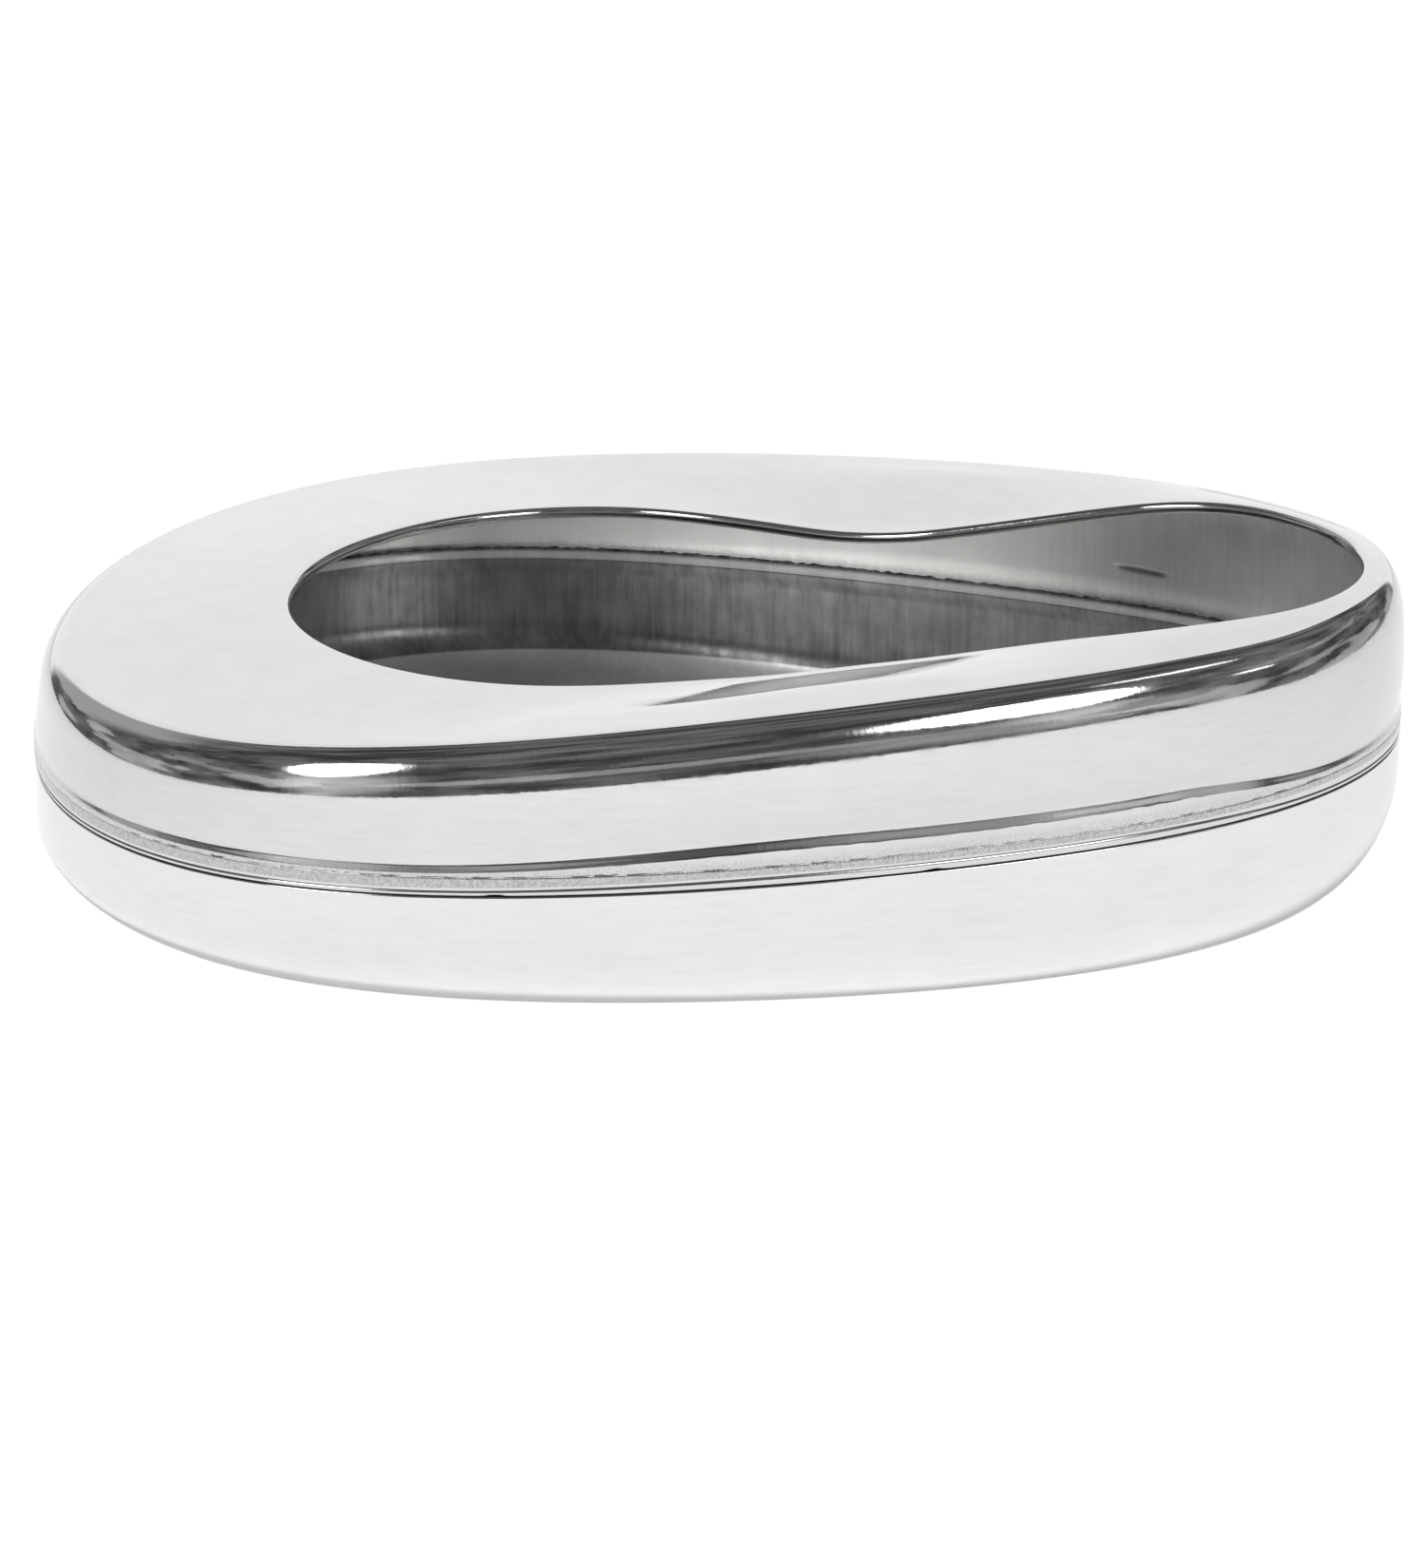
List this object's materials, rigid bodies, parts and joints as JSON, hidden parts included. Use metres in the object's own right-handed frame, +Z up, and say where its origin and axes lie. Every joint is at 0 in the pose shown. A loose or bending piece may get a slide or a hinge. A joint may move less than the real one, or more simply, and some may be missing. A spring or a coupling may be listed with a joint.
{
  "type": "bedpan",
  "caption": "Adult bedpan of polished stainless sheet: egg-shaped pan, low wide seat flange, high narrow front, pear-shaped opening and seam-welded waist.",
  "frame": {"origin": "on the floor, under the middle of the bedpan's length and width", "axes": "+X towards the high narrow front, +Z up; the X-Z plane is the plane of symmetry"},
  "size_m": [0.3547, 0.2882, 0.0823],
  "materials": {
    "pan_steel": "polished outside, drawn satin inside",
    "shell_steel": "mirror polished outside, satin inside",
    "weld_steel": "matt weld metal"
  },
  "bodies": {
    "root": {"lower_pan": "pan_steel", "upper_shell": "shell_steel", "seam_weld": "weld_steel"}
  },
  "joints": []
}
